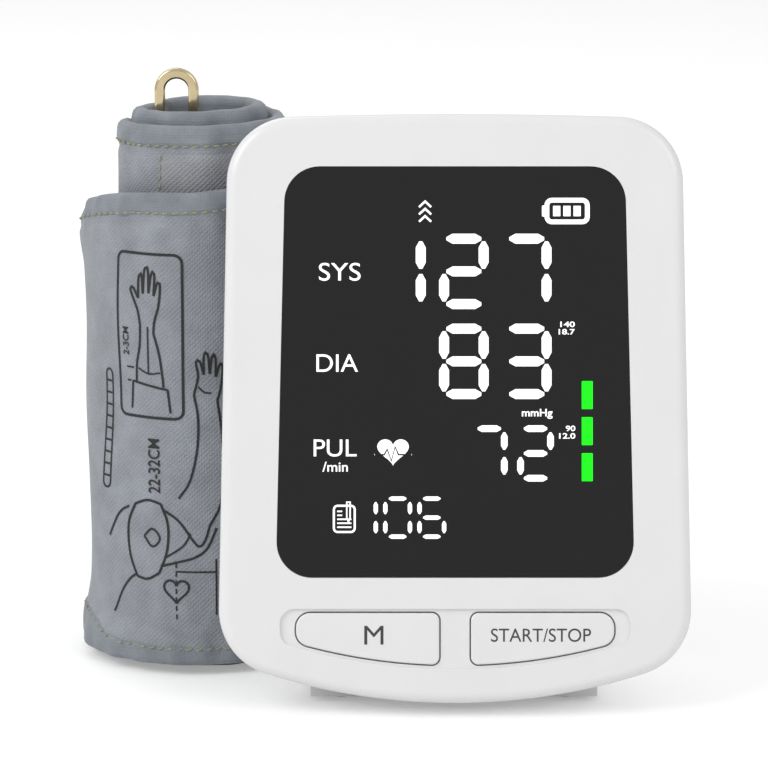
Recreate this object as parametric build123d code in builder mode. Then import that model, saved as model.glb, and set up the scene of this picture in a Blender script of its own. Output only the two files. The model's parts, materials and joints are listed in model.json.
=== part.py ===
"""Upper arm blood pressure monitor with its rolled cuff, in millimetres.

+X points right, +Y away from the reader, +Z up. The table is z = 0 and the
origin is the middle of the set's footprint. The monitor stands on its base with
its face tilted back. The rolled cuff stands on end behind its left side.
"""

from build123d import *
import math
import os

# Face and housing
face_tilt = 12.0
face_lift = 4.0
face_length = 141.8
width_top = 109.4
width_bottom = 114.0
crown_rise = 1.2
foot_arc_rise = 11.3
corner_radius = 16.0
front_edge_radius = 2.6
back_inset = 11.0
back_taper = 45.0
wall = 2.0

# Pod at the back, which holds the cells and stands on the table
pod_width = 70.0
pod_front = 16.0
pod_depth_base = 61.0
pod_depth_top = 50.0
pod_height = 112.0
pod_shoulder = 14.0
pod_corner = 7.0
foot_height = 1.2
foot_radius = 4.0
foot_recess = 0.6
foot_inset = 7.5

# Display
window_bottom = 30.4
window_height = 98.5
window_half_low = 42.9
window_half_high = 40.7
window_corner = 8.4
window_thickness = 1.8
window_sink = 0.15
window_gap = 0.15
window_ledge = 2.0
panel_inset = 4.0
panel_thickness = 6.0

# Buttons
button_top = 21.8
button_inner_edge = 3.8
button_outer_edge = 38.2
button_arc_offset = 9.3
button_inner_corner = 1.8
button_outer_corner = 3.5
button_gap = 0.35
button_proud = 0.7
button_thickness = 2.3
button_flange = 1.1
button_flange_thickness = 1.0
button_travel = 0.6
button_edge_radius = 0.5
stem_radius = 2.0
stem_v = 17.6
dish_margin = 3.9
dish_rim = 1.0
dish_depth = 0.8
switch_size = 6.0
switch_height = 2.6
plunger_radius = 1.5
plunger_well = 1.6
plunger_clearance = 0.15

# Main board and what is on it
board_depth = 9.4
board_thickness = 1.6
board_low = 15.0
board_high = 132.0
board_half = 48.5
board_corner = 6.0
post_radius = 3.4
pilot_radius = 1.1
screw_radius = 1.5
screw_clearance = 0.25
screw_head_radius = 2.8
screw_head_height = 2.2
screw_low = 31.0
screw_high = 119.0
screw_side = 45.2
screw_boss_radius = 4.4
screw_bite = 4.0
screw_seat_depth = 16.0
sensor_width = 9.0
sensor_height = 5.0
sensor_u = -10.0
sensor_v = 39.0
buzzer_radius = 6.0
buzzer_height = 4.0
buzzer_v = 78.0
buzzer_u = 26.0
small_corner = 0.6

# Cells, their tray and its cover
cell_radius = 7.1
cell_length = 50.3
cell_nub_radius = 2.7
cell_nub_length = 1.2
cell_count = 4
cell_pitch = 15.0
contact_room = 5.2
contact_thickness = 0.5
contact_taper = 20.0
tray_depth = 16.6
tray_wall = 1.6
tray_low = 9.0
cover_overlap = 2.0
cover_thickness = 2.0
cover_gap = 0.25
cover_corner = 3.0
cover_grip_radius = 9.0
cover_grip_depth = 0.7

# Air parts
pump_y = 40.4
pump_z = 84.0
pump_left = -25.0
motor_radius = 9.0
motor_length = 25.0
motor_shaft_boss = 3.0
head_size = 18.6
head_length = 18.0
saddle_thickness = 3.0
saddle_width = 14.4
saddle_margin = 5.0
saddle_gap = 0.2
spout_forward = 6.6
spout_length = 2.5
air_y = 33.5
air_z = 22.0
manifold_left = -20.0
manifold_length = 20.0
manifold_size = 9.0
manifold_post = 6.0
valve_length = 15.0
valve_size = 12.0
socket_radius = 4.2
socket_flange_radius = 5.4
socket_flange = 1.0
socket_bore = 2.6
socket_bore_length = 9.0
tube_radius = 2.2
tube_wall = 0.8
seat_gap = 0.1
jack_width = 9.0
jack_length = 13.0
jack_bore = 3.2
jack_bore_length = 9.5
jack_pin = 1.05

# Rolled cuff: each turn is half a ring, front or back, and turns share ends
cuff_offset_x = 64.5
cuff_offset_y = 66.5
flap_half = 27.4
flap_thickness = 2.2
flap_low = 2.6
flap_high = 116.0
sleeve_thickness = 3.0
lining_wall = 0.8
bladder_margin = 12.0
left_gap = 9.4
right_step = 5.9
left_step = 3.7
right_step_inner = 5.0
left_step_inner = 5.8
middle_high = 137.0
inner_high = 141.0
tape_width = 6.5
tape_thickness = 0.5
patch_thickness = 0.8
patch_margin = 16.0
free_end_angle = 58.0
ring_width = 11.0
ring_bar = 2.6
ring_low = 2.0
ring_high = 149.6
ring_tunnel_wall = 1.0
ring_tunnel_gap = 0.25
nozzle_radius = 2.5
nozzle_bore = 1.5
nozzle_length = 9.0
nozzle_base_radius = 6.0
nozzle_base_height = 1.2
nozzle_z = 126.5

# Values that follow from the sizes above
tilt = math.radians(face_tilt)
band_depth = board_depth + board_thickness
foot_arc_radius = (width_bottom**2 / 4 + foot_arc_rise**2) / (2 * foot_arc_rise)

os.makedirs("parts", exist_ok=True)


def save(part, name, on_face=False):
    """Label a finished piece and write it; face pieces are tilted into place."""
    placed = part.moved(face_plane.location) if on_face else part
    placed.label = name
    export_step(placed, f"parts/{name}.step")


def behind(depth):
    """Plane at this depth behind the face, in the face's own flat frame."""
    return Plane.XY.offset(-depth)


def outline(plane, inset=0.0):
    """Outline of the face: slightly tapered, crowned above, arced below."""
    with BuildSketch(plane) as sketch:
        with BuildLine():
            low = (width_bottom / 2, foot_arc_rise)
            high = (width_top / 2, face_length - crown_rise)
            ThreePointArc((-low[0], low[1]), (0, 0), low)
            Line(low, high)
            ThreePointArc(high, (0, face_length), (-high[0], high[1]))
            Line((-high[0], high[1]), (-low[0], low[1]))
        make_face()
        fillet(sketch.vertices(), radius=corner_radius)
        if inset:
            offset(amount=-inset)
    return sketch.sketch


def window_outline(plane, inset=0.0):
    """Outline of the display window, a little wider below than above."""
    with BuildSketch(plane) as sketch:
        top = window_bottom + window_height
        with BuildLine():
            Polyline(
                (-window_half_low, window_bottom),
                (window_half_low, window_bottom),
                (window_half_high, top),
                (-window_half_high, top),
                close=True,
            )
        make_face()
        fillet(sketch.vertices(), radius=window_corner)
        if inset:
            offset(amount=-inset)
    return sketch.sketch


def button_outline(plane, side, grow=0.0):
    """Outline of one button: its lower edge follows the housing's arc."""
    arc_radius = foot_arc_radius - button_arc_offset
    centre_y = foot_arc_radius

    def arc_point(x):
        return (side * x, centre_y - math.sqrt(arc_radius**2 - x**2))

    middle = (button_inner_edge + button_outer_edge) / 2
    with BuildSketch(plane) as sketch:
        with BuildLine():
            inner_low = arc_point(button_inner_edge)
            outer_low = arc_point(button_outer_edge)
            inner_high = (side * button_inner_edge, button_top)
            outer_high = (side * button_outer_edge, button_top)
            ThreePointArc(inner_low, arc_point(middle), outer_low)
            Polyline(outer_low, outer_high, inner_high, inner_low)
        make_face()
        by_side = sketch.vertices().sort_by(Axis.X, reverse=side < 0)
        fillet(by_side[:2], radius=button_inner_corner)
        by_side = sketch.vertices().sort_by(Axis.X, reverse=side < 0)
        fillet(by_side[-2:], radius=button_outer_corner)
        if grow:
            offset(amount=grow)
    return sketch.sketch


def dish_outline(plane):
    """Outline of the shallow dish round both buttons."""
    half = button_outer_edge + dish_margin
    top = button_top + dish_rim
    arc_radius = foot_arc_radius - button_arc_offset + dish_rim
    low = foot_arc_radius - math.sqrt(arc_radius**2 - half**2)
    with BuildSketch(plane) as sketch:
        with BuildLine():
            ThreePointArc((-half, low), (0, foot_arc_radius - arc_radius), (half, low))
            Polyline((half, low), (half, top), (-half, top), (-half, low))
        make_face()
        fillet(sketch.vertices(), radius=button_outer_corner)
    return sketch.sketch


# Ends of each turn of the roll, as distances left of the monitor's middle
flap_left = cuff_offset_x + flap_half
flap_right = cuff_offset_x - flap_half
middle_left = flap_left - left_gap
middle_right = flap_right + right_step
inner_left = middle_left - left_step
inner_right = middle_right + right_step_inner
core_left = inner_left - left_step_inner
nozzle_turn_radius = (inner_left - middle_right) / 2

# Places of the monitor and the cuff, with the origin under the set's middle
reach_left = flap_left + flap_thickness / 2 + tape_thickness
reach_right = outline(Plane.XY).bounding_box().max.X
monitor_x = (reach_left - reach_right) / 2
reach_front = front_edge_radius * (math.sin(tilt) + math.cos(tilt) - 1)
nozzle_reach = nozzle_turn_radius + sleeve_thickness / 2 + nozzle_base_height
reach_back = cuff_offset_y + nozzle_reach + nozzle_length
monitor_y = -(reach_back + reach_front) / 2
cuff_x = monitor_x - cuff_offset_x
cuff_y = monitor_y + cuff_offset_y

face_plane = Plane(
    origin=(monitor_x, monitor_y, face_lift),
    x_dir=(1, 0, 0),
    z_dir=(0, -math.cos(tilt), math.sin(tilt)),
)

# Each button's stem and switch sit at the middle of its cap
stem_u = (button_inner_edge + button_outer_edge) / 2
stem_spots = {"memory": (-stem_u, stem_v), "start": (stem_u, stem_v)}
cap_back = button_thickness - button_proud + dish_depth
flange_front = wall + dish_depth + button_gap / 2
switch_front = board_depth - switch_height

screw_spots = [
    (side * screw_side, v) for side in (-1, 1) for v in (screw_low, screw_high)
]

# Front shell: the face with its rolled edge, window seat, dish and screw posts
with BuildPart() as front_cavity:
    extrude(outline(behind(wall), wall), amount=-(band_depth - wall))
    with BuildSketch(behind(wall)):
        with Locations(*screw_spots):
            Circle(post_radius)
    extrude(amount=-(board_depth - wall), mode=Mode.SUBTRACT)
    window_seat = window_outline(behind(wall), -window_ledge)
    extrude(window_seat, amount=-window_sink - window_ledge / 2, mode=Mode.SUBTRACT)
    extrude(dish_outline(behind(wall)), amount=-dish_depth, mode=Mode.SUBTRACT)

with BuildPart() as front_shell:
    extrude(outline(behind(0)), amount=-band_depth)
    rim = front_shell.faces().sort_by(Axis.Z)[-1]
    fillet(rim.edges(), radius=front_edge_radius)
    add(front_cavity.part, mode=Mode.SUBTRACT)
    window_recess = window_outline(behind(0), -window_gap)
    recess_depth = window_thickness + window_sink
    extrude(window_recess, amount=-recess_depth, mode=Mode.SUBTRACT)
    extrude(window_outline(behind(0), window_ledge), amount=-board_depth, mode=Mode.SUBTRACT)
    extrude(dish_outline(behind(0)), amount=-dish_depth, mode=Mode.SUBTRACT)
    for button_side in (-1, 1):
        opening = button_outline(behind(0), button_side, button_gap)
        extrude(opening, amount=-board_depth / 2, mode=Mode.SUBTRACT)
    with BuildSketch(behind(board_depth)):
        with Locations(*screw_spots):
            Circle(pilot_radius + screw_clearance / 2)
    extrude(amount=screw_bite + screw_clearance, mode=Mode.SUBTRACT)
save(front_shell.part, "front_shell", on_face=True)

# Display window: a dark sheet that sits almost flush in its seat
with BuildPart() as display_window:
    extrude(window_outline(behind(window_sink)), amount=-window_thickness)
save(display_window.part, "display_window", on_face=True)

# Lit display panel behind the window, on the main board
panel_back = board_depth
panel_front = panel_back - panel_thickness
with BuildPart() as display_panel:
    extrude(window_outline(behind(panel_front), panel_inset), amount=-panel_thickness)
save(display_panel.part, "display_panel", on_face=True)

# Main board, cut round the posts' screws
with BuildPart() as main_board:
    with BuildSketch(behind(board_depth)):
        with Locations((0, (board_low + board_high) / 2)):
            RectangleRounded(2 * board_half, board_high - board_low, board_corner)
    extrude(amount=-board_thickness)
    with BuildSketch(behind(board_depth)):
        with Locations(*screw_spots):
            Circle(screw_radius + screw_clearance)
    extrude(amount=-board_thickness, mode=Mode.SUBTRACT)
save(main_board.part, "main_board", on_face=True)

# Buttons with their flanges and stems, the switches and the plungers in them
stem_back = switch_front - button_travel - seat_gap
for button_side, (key, spot) in zip((-1, 1), stem_spots.items()):
    with BuildPart() as button:
        extrude(button_outline(behind(dish_depth - button_proud), button_side), amount=-button_thickness)
        cap_front = button.faces().sort_by(Axis.Z)[-1]
        fillet(cap_front.edges(), radius=button_edge_radius)
        flange = button_outline(behind(flange_front), button_side, button_flange)
        extrude(flange, amount=-button_flange_thickness)
        core = button_outline(behind(cap_back), button_side, -button_flange)
        extrude(core, amount=cap_back - flange_front - button_flange_thickness)
        with BuildSketch(behind(dish_depth)):
            with Locations(spot):
                Circle(stem_radius)
        extrude(amount=-(stem_back - dish_depth))
    save(button.part, f"{key}_button", on_face=True)

    with BuildPart() as plunger:
        with BuildSketch(behind(stem_back)):
            with Locations(spot):
                Circle(plunger_radius)
        extrude(amount=-(switch_front - stem_back + plunger_well / 2))
    save(plunger.part, f"{key}_plunger", on_face=True)

    with BuildPart() as switch:
        with BuildSketch(behind(switch_front)):
            with Locations(spot):
                RectangleRounded(switch_size, switch_size, small_corner)
        extrude(amount=-switch_height)
        with BuildSketch(behind(switch_front)):
            with Locations(spot):
                Circle(plunger_radius + plunger_clearance)
        extrude(amount=-plunger_well, mode=Mode.SUBTRACT)
    save(switch.part, f"{key}_switch", on_face=True)

# Pressure sensor and buzzer on the back of the main board
with BuildPart() as pressure_sensor:
    with BuildSketch(behind(band_depth)):
        with Locations((sensor_u, sensor_v)):
            RectangleRounded(sensor_width, sensor_width, small_corner)
    extrude(amount=-sensor_height / 2)
    with BuildSketch(behind(band_depth + sensor_height / 2)):
        with Locations((sensor_u, sensor_v)):
            Circle(tube_radius)
            Circle(tube_radius - tube_wall, mode=Mode.SUBTRACT)
    extrude(amount=-sensor_height / 2)
save(pressure_sensor.part, "pressure_sensor", on_face=True)

with BuildPart() as buzzer:
    with BuildSketch(behind(band_depth)):
        with Locations((buzzer_u, buzzer_v)):
            Circle(buzzer_radius)
    extrude(amount=-buzzer_height)
    with BuildSketch(behind(band_depth + buzzer_height)):
        with Locations((buzzer_u, buzzer_v)):
            Circle(pilot_radius)
    extrude(amount=buzzer_height / 2, mode=Mode.SUBTRACT)
save(buzzer.part, "buzzer", on_face=True)

# Back plane of the pod, which leans a little toward the face as it rises
base_z = foot_height
lean_back = math.atan2(pod_depth_base - pod_depth_top, pod_height)
back_plane = Plane(
    origin=(monitor_x, monitor_y + pod_depth_base, base_z),
    x_dir=(-1, 0, 0),
    z_dir=(0, math.cos(lean_back), math.sin(lean_back)),
)


def inside_back(depth):
    """Plane parallel to the pod's back, at this depth inside it."""
    return back_plane.offset(-depth)


def pod_body(inset):
    """Pod's side profile pushed out to both sides, with rounded back edges."""
    with BuildPart() as pod:
        with BuildSketch(Plane.YZ.offset(monitor_x)):
            with BuildLine():
                shoulder_y = monitor_y + pod_depth_top
                Polyline(
                    (monitor_y + pod_front, base_z),
                    (monitor_y + pod_depth_base, base_z),
                    (shoulder_y, base_z + pod_height),
                    (shoulder_y - pod_shoulder, base_z + pod_height + pod_shoulder),
                    (shoulder_y - 2 * pod_shoulder, base_z + pod_height + pod_shoulder),
                    close=True,
                )
            make_face()
            if inset:
                offset(amount=-inset)
        extrude(amount=pod_width / 2 - inset, both=True)
        upright = pod.edges().filter_by(Axis.X, reverse=True)
        back_edges = upright.filter_by(
            lambda edge: abs(edge.tangent_at(0.5).dot(back_plane.y_dir)) > 0.999
        )
        fillet(back_edges, radius=pod_corner - inset)
    return pod.part


# Tray for the cells, in the pod's back
tray_length = cell_length + 2 * contact_room
tray_height = cell_count * cell_pitch
tray_middle = tray_low + tray_height / 2
cover_width = tray_length + 2 * cover_overlap
cover_height = tray_height + 2 * cover_overlap


def tray_block(grow, depth):
    """Block of the tray's size, grown on each side, cut in from the back."""
    with BuildPart() as block:
        with BuildSketch(back_plane):
            with Locations((0, tray_middle)):
                Rectangle(tray_length + 2 * grow, tray_height + 2 * grow)
        extrude(amount=-depth)
    return block.part


def cover_outline(plane, gap=0.0):
    """Outline of the battery cover, or of its seat when grown by a gap."""
    with BuildSketch(plane) as sketch:
        with Locations((0, tray_middle)):
            RectangleRounded(cover_width + 2 * gap, cover_height + 2 * gap, cover_corner)
    return sketch.sketch


air_line_y = monitor_y + air_y
socket_place = Plane(
    origin=(monitor_x - pod_width / 2, air_line_y, air_z),
    x_dir=(0, 1, 0),
    z_dir=(-1, 0, 0),
)
jack_place = Plane(
    origin=(monitor_x + pod_width / 2, air_line_y, air_z),
    x_dir=(0, 1, 0),
    z_dir=(1, 0, 0),
)
foot_spots = [
    (monitor_x + side * (pod_width / 2 - foot_inset), monitor_y + y)
    for side in (-1, 1)
    for y in (pod_front + foot_inset, pod_depth_base - foot_inset)
]
head_left = monitor_x + pump_left
motor_left = head_left + head_length
saddle_spots = (motor_left + saddle_margin, motor_left + motor_length - saddle_margin)
tray_top = base_z + tray_low + tray_height
manifold_x = monitor_x + manifold_left
manifold_middle = manifold_x + manifold_length / 2

# Tapered back of the housing, and what the screws take from it
with BuildPart() as tapered_back:
    extrude(outline(behind(band_depth)), amount=-back_inset, taper=back_taper)

with BuildPart() as tapered_cavity:
    cavity_depth = back_inset - wall
    extrude(outline(behind(band_depth), wall), amount=-cavity_depth, taper=back_taper)

with BuildPart() as screw_bosses:
    with BuildSketch(behind(band_depth)):
        with Locations(*screw_spots):
            Circle(screw_boss_radius)
    extrude(amount=-back_inset)

with BuildPart() as screw_holes:
    with BuildSketch(behind(screw_seat_depth)):
        with Locations(*screw_spots):
            Circle(screw_head_radius + screw_clearance)
    extrude(amount=-back_inset)
    with BuildSketch(behind(band_depth)):
        with Locations(*screw_spots):
            Circle(screw_radius + screw_clearance)
    extrude(amount=-back_inset)

with BuildPart() as front_side:
    with BuildSketch(behind(band_depth)):
        Rectangle(2 * width_bottom, 2 * (face_length + foot_arc_radius))
    extrude(amount=width_bottom)

# Rear shell: tapered back, pod with tray, screw bosses, pump saddles, openings
with BuildPart() as rear_cavity:
    add(tapered_cavity.part.moved(face_plane.location))
    add(pod_body(wall))
    add(screw_bosses.part.moved(face_plane.location), mode=Mode.SUBTRACT)
    add(tray_block(tray_wall, tray_depth + tray_wall), mode=Mode.SUBTRACT)
    for saddle_x in saddle_spots:
        with BuildSketch(Plane.YZ.offset(saddle_x)):
            with Locations((monitor_y + pump_y, (tray_top + pump_z) / 2)):
                Rectangle(saddle_width, pump_z - tray_top)
            with Locations((monitor_y + pump_y, pump_z)):
                Circle(motor_radius + saddle_gap, mode=Mode.SUBTRACT)
        extrude(amount=saddle_thickness / 2, both=True, mode=Mode.SUBTRACT)
    with BuildSketch(Plane.XY.offset(base_z)):
        with Locations((manifold_middle, air_line_y)):
            Rectangle(manifold_post, manifold_post)
    post_rise = air_z - manifold_size / 2 - seat_gap - base_z
    extrude(amount=post_rise, mode=Mode.SUBTRACT)

with BuildPart() as rear_shell:
    add(tapered_back.part.moved(face_plane.location))
    add(pod_body(0))
    add(front_side.part.moved(face_plane.location), mode=Mode.SUBTRACT)
    add(screw_holes.part.moved(face_plane.location), mode=Mode.SUBTRACT)
    add(rear_cavity.part, mode=Mode.SUBTRACT)
    add(tray_block(0, tray_depth), mode=Mode.SUBTRACT)
    cover_seat = cover_outline(back_plane, cover_gap)
    extrude(cover_seat, amount=-(cover_thickness + seat_gap), mode=Mode.SUBTRACT)
    with BuildSketch(socket_place):
        Circle(socket_radius + seat_gap)
    extrude(amount=-2 * wall, both=True, mode=Mode.SUBTRACT)
    with BuildSketch(jack_place):
        Circle(jack_bore + seat_gap)
    extrude(amount=-2 * wall, both=True, mode=Mode.SUBTRACT)
    with BuildSketch(Plane.XY.offset(base_z)):
        with Locations(*foot_spots):
            Circle(foot_radius + seat_gap)
    extrude(amount=foot_recess, mode=Mode.SUBTRACT)
save(rear_shell.part, "rear_shell")

# Case screws, driven from the back into the front shell's posts
with BuildPart() as case_screws:
    with BuildSketch(behind(screw_seat_depth)):
        with Locations(*screw_spots):
            Circle(screw_head_radius)
    extrude(amount=-screw_head_height)
    with BuildSketch(behind(band_depth)):
        with Locations(*screw_spots):
            Circle(screw_radius)
    extrude(amount=-(screw_seat_depth - band_depth))
    with BuildSketch(behind(board_depth - screw_bite)):
        with Locations(*screw_spots):
            Circle(pilot_radius)
    extrude(amount=-(screw_bite + board_thickness))
    with BuildSketch(behind(screw_seat_depth + screw_head_height)):
        with Locations(*screw_spots):
            Rectangle(2 * screw_radius, pilot_radius / 2)
            Rectangle(pilot_radius / 2, 2 * screw_radius)
    extrude(amount=screw_head_height / 2, mode=Mode.SUBTRACT)
save(case_screws.part, "case_screws", on_face=True)

# Rubber feet, set into the base
with BuildPart() as rubber_feet:
    with BuildSketch():
        with Locations(*foot_spots):
            Circle(foot_radius)
    extrude(amount=foot_height + foot_recess)
    soles = rubber_feet.faces().filter_by(Plane.XY).group_by(Axis.Z)[0]
    fillet(soles.edges(), radius=foot_height / 3)
save(rubber_feet.part, "rubber_feet")

# Battery cover, flush with the pod's back, with a finger grip
with BuildPart() as battery_cover:
    extrude(cover_outline(back_plane), amount=-cover_thickness)
    with BuildSketch(back_plane):
        with Locations((0, tray_middle + cover_height / 4)):
            SlotOverall(2 * cover_grip_radius, cover_grip_radius)
    extrude(amount=-cover_grip_depth, mode=Mode.SUBTRACT)
    with BuildSketch(inside_back(cover_grip_depth)):
        with Locations((0, tray_middle + cover_height / 4)):
            with GridLocations(0, cover_grip_radius / 4, 1, 3):
                Rectangle(cover_grip_radius, cover_grip_depth)
    extrude(amount=cover_grip_depth / 2)
save(battery_cover.part, "battery_cover")

# Four cells across the tray, each the other way round from its neighbour
cell_depth = tray_depth - cell_radius - seat_gap
for cell in range(cell_count):
    direction = 1 if cell % 2 else -1
    rise = tray_low + (cell + 0.5) * cell_pitch
    centre = back_plane.from_local_coords((0, rise, -cell_depth))
    with BuildPart() as battery:
        with BuildSketch(Plane(origin=centre, z_dir=(direction, 0, 0))):
            Circle(cell_radius)
        extrude(amount=cell_length / 2, both=True)
        ends = battery.faces().filter_by(Axis.X)
        fillet(ends.edges(), radius=cell_nub_length / 2)
        tip = Plane(origin=centre, z_dir=(direction, 0, 0)).offset(cell_length / 2)
        with BuildSketch(tip):
            Circle(cell_nub_radius)
        extrude(amount=cell_nub_length)
    save(battery.part, f"battery_{cell + 1}")

# Sprung contact strips at both ends of the tray
for name, side in (("contacts_left", 1), ("contacts_right", -1)):
    with BuildPart() as contacts:
        for cell in range(cell_count):
            rise = tray_low + (cell + 0.5) * cell_pitch
            wall_end = side * (tray_length / 2 - seat_gap)
            centre = back_plane.from_local_coords((wall_end, rise, -cell_depth))
            inward = back_plane.x_dir * -side
            blade = Plane(origin=centre, x_dir=back_plane.z_dir, z_dir=inward)
            with BuildSketch(blade):
                Rectangle(2 * cell_nub_radius, cell_pitch - 2 * tray_wall)
            extrude(amount=contact_thickness)
            at_nub = (1 if cell % 2 else -1) == -side
            bow = contact_room - contact_thickness - 2 * seat_gap
            bow -= cell_nub_length if at_nub else 0
            with BuildSketch(blade.offset(contact_thickness)):
                Circle(cell_nub_radius)
            extrude(amount=bow, taper=contact_taper)
    save(contacts.part, name)

# Pump: diaphragm head and motor, in two saddles above the tray
pump_end = Plane(
    origin=(head_left, monitor_y + pump_y, pump_z), x_dir=(0, 1, 0), z_dir=(1, 0, 0)
)
motor_end = pump_end.offset(head_length)
with BuildPart() as pump_motor:
    with BuildSketch(motor_end):
        Circle(motor_radius)
    extrude(amount=motor_length)
    with BuildSketch(motor_end.offset(motor_length)):
        Circle(motor_shaft_boss)
    extrude(amount=motor_shaft_boss / 2)
save(pump_motor.part, "pump_motor")

spout_x = head_left + head_length / 2
spout_y = monitor_y + pump_y - spout_forward
head_bottom = pump_z - head_size / 2
with BuildPart() as pump_head:
    with BuildSketch(pump_end):
        RectangleRounded(head_size, head_size, motor_shaft_boss)
    extrude(amount=head_length)
    for groove in (1, 2):
        with BuildSketch(pump_end.offset(groove * head_length / 3)):
            RectangleRounded(head_size, head_size, motor_shaft_boss)
            offset(amount=-tube_wall, mode=Mode.SUBTRACT)
        extrude(amount=contact_thickness, mode=Mode.SUBTRACT)
    with BuildSketch(Plane.XY.offset(head_bottom)):
        with Locations((spout_x, spout_y)):
            Circle(tube_radius - tube_wall - seat_gap)
    extrude(amount=-spout_length)
save(pump_head.part, "pump_head")

# Tube from the pump's spout straight down to the manifold
manifold_top = air_z + manifold_size / 2
with BuildPart() as air_tube:
    with BuildSketch(Plane.XY.offset(manifold_top + seat_gap)):
        with Locations((spout_x, spout_y)):
            Circle(tube_radius)
            Circle(tube_radius - tube_wall, mode=Mode.SUBTRACT)
    extrude(amount=head_bottom - manifold_top - 2 * seat_gap)
save(air_tube.part, "air_tube")

# Manifold between the socket, the pump's tube and the exhaust valve
with BuildPart() as air_manifold:
    with BuildSketch(Plane.YZ.offset(manifold_x)):
        with Locations((air_line_y, air_z)):
            RectangleRounded(manifold_size, manifold_size, small_corner)
    extrude(amount=manifold_length)
save(air_manifold.part, "air_manifold")

with BuildPart() as exhaust_valve:
    with BuildSketch(Plane.YZ.offset(manifold_x + manifold_length + seat_gap)):
        with Locations((air_line_y, air_z)):
            RectangleRounded(valve_size - small_corner, valve_size, small_corner)
    extrude(amount=valve_length)
save(exhaust_valve.part, "exhaust_valve")

# Air socket in the pod's left wall, open at both ends into the manifold
with BuildPart() as air_socket:
    with BuildSketch(socket_place):
        Circle(socket_flange_radius)
    extrude(amount=socket_flange)
    socket_run = pod_width / 2 + manifold_left - seat_gap
    with BuildSketch(socket_place):
        Circle(socket_radius)
    extrude(amount=-socket_run)
    with BuildSketch(socket_place.offset(socket_flange)):
        Circle(socket_bore)
    extrude(amount=-socket_bore_length, mode=Mode.SUBTRACT)
save(air_socket.part, "air_socket")

# Power inlet in the pod's right wall, with its centre pin
with BuildPart() as power_inlet:
    with BuildSketch(jack_place.offset(-wall - seat_gap)):
        RectangleRounded(jack_width, jack_width, small_corner)
    extrude(amount=-jack_length)
    with BuildSketch(jack_place):
        Circle(jack_bore)
    extrude(amount=-(wall + seat_gap))
    with BuildSketch(jack_place):
        Circle(jack_bore - contact_thickness)
        Circle(jack_pin, mode=Mode.SUBTRACT)
    extrude(amount=-jack_bore_length, mode=Mode.SUBTRACT)
save(power_inlet.part, "power_inlet")

# Turns of the roll, from the outside in: middle, radius and side of each half
# ring. Front turns bow toward the reader and back turns away.
def turn(left, right, front):
    """Middle, radius and side of the half ring between two ends of a turn."""
    middle = monitor_x - (left + right) / 2
    return (middle, (left - right) / 2, -1 if front else 1)


turn_flap = turn(flap_left, flap_right, True)
turn_flap_back = turn(flap_left, flap_right, False)
turn_back = turn(middle_left, flap_right, False)
turn_middle = turn(middle_left, middle_right, True)
turn_inner_back = turn(inner_left, middle_right, False)
turn_inner = turn(inner_left, inner_right, True)
turn_core = turn(core_left, inner_right, False)


def half_ring(spiral_turn, inner_side, outer_side, low, high):
    """Half ring of one turn, between two distances from its middle line."""
    middle, radius, side = spiral_turn
    with BuildSketch(Plane.XY.offset(low)) as ring:
        with Locations((middle, cuff_y)):
            Circle(radius + outer_side)
            Circle(radius - inner_side, mode=Mode.SUBTRACT)
            keep = Align.MIN if side < 0 else Align.MAX
            cut_size = 4 * (radius + outer_side)
            Rectangle(cut_size, cut_size, align=(Align.CENTER, keep), mode=Mode.SUBTRACT)
    return extrude(ring.sketch, amount=high - low)


half_flap = flap_thickness / 2
half_sleeve = sleeve_thickness / 2
sleeve_turns = (
    (turn_middle, middle_high),
    (turn_inner_back, (middle_high + inner_high) / 2),
    (turn_inner, inner_high),
    (turn_core, inner_high),
)

# Printed flap, the outermost turn, with its free end at the back left
flap_reach = 4 * flap_half
with BuildPart() as cuff_flap:
    half_ring(turn_flap_back, half_flap, half_flap, flap_low, flap_high)
    with BuildSketch(Plane.XY.offset(flap_low)) as beyond_end:
        with Locations((turn_flap[0], cuff_y)):
            past_end = (Align.MIN, Align.CENTER)
            end_turn = 90 - free_end_angle
            Rectangle(flap_reach, flap_reach, rotation=end_turn, align=past_end)
    extrude(beyond_end.sketch, amount=flap_high - flap_low, mode=Mode.SUBTRACT)
    half_ring(turn_flap, half_flap, half_flap, flap_low, flap_high)
save(cuff_flap.part, "cuff_flap")

# Bladder, a flat air bag that fills the pocket in the sleeve
bladder_half = half_sleeve - lining_wall - seat_gap
bladder_turns = sleeve_turns[:2]
with BuildPart() as air_bladder:
    for bladder_turn, turn_high in bladder_turns:
        low = bladder_margin
        high = turn_high - bladder_margin
        half_ring(bladder_turn, bladder_half, bladder_half, low, high)
save(air_bladder.part, "air_bladder")

# The core turn ends in a tunnel that holds one bar of the long ring
tunnel_inner = ring_bar * math.sqrt(0.5) + ring_tunnel_gap
tunnel_outer = tunnel_inner + ring_tunnel_wall
tunnel_low = ring_low + ring_width
held_bar_x = monitor_x - core_left
held_bar_y = cuff_y - tunnel_inner
ring_plane = Plane(
    origin=(held_bar_x + (ring_width - ring_bar) / 2, held_bar_y, 0),
    x_dir=(1, 0, 0),
    z_dir=(0, -1, 0),
)

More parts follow.
